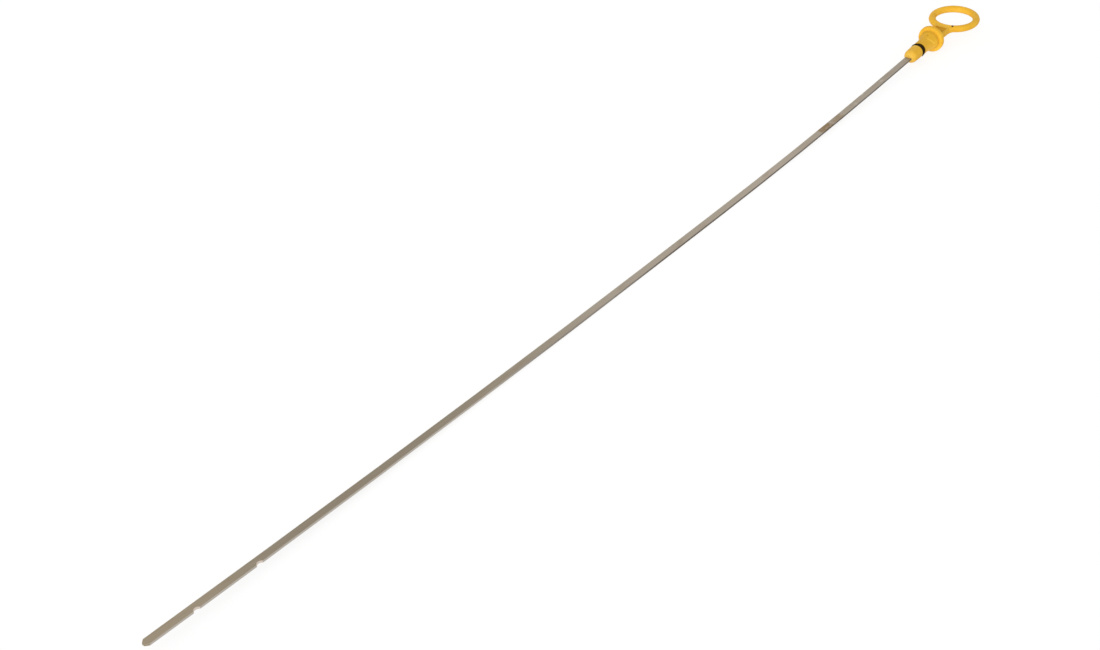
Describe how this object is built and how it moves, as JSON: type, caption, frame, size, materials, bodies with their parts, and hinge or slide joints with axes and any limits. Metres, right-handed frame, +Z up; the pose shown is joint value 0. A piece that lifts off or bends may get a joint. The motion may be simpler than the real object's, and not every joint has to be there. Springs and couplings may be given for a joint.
{
  "type": "engine oil dipstick",
  "caption": "Flat steel engine oil dipstick with level notches near its blunt tip, and a yellow plastic finger-ring handle whose flanged plug carries a rubber seal ring.",
  "frame": {"origin": "centre of the bounding box at the surface that the dipstick lies on", "axes": "+X along the dipstick from its tip towards the finger ring, +Z up from the surface that it lies on, +Y across the blade away from its notched edge"},
  "size_m": [0.7974, 0.0364, 0.0193],
  "materials": {
    "yellow_plastic": "satin moulded nylon with a fine grain",
    "black_rubber": "matte moulded rubber",
    "rolled_steel": "dull cold-rolled strip with lengthwise grain and light staining"
  },
  "bodies": {
    "root": {"handle": "yellow_plastic", "o_ring": "black_rubber", "blade": "rolled_steel"}
  },
  "joints": []
}
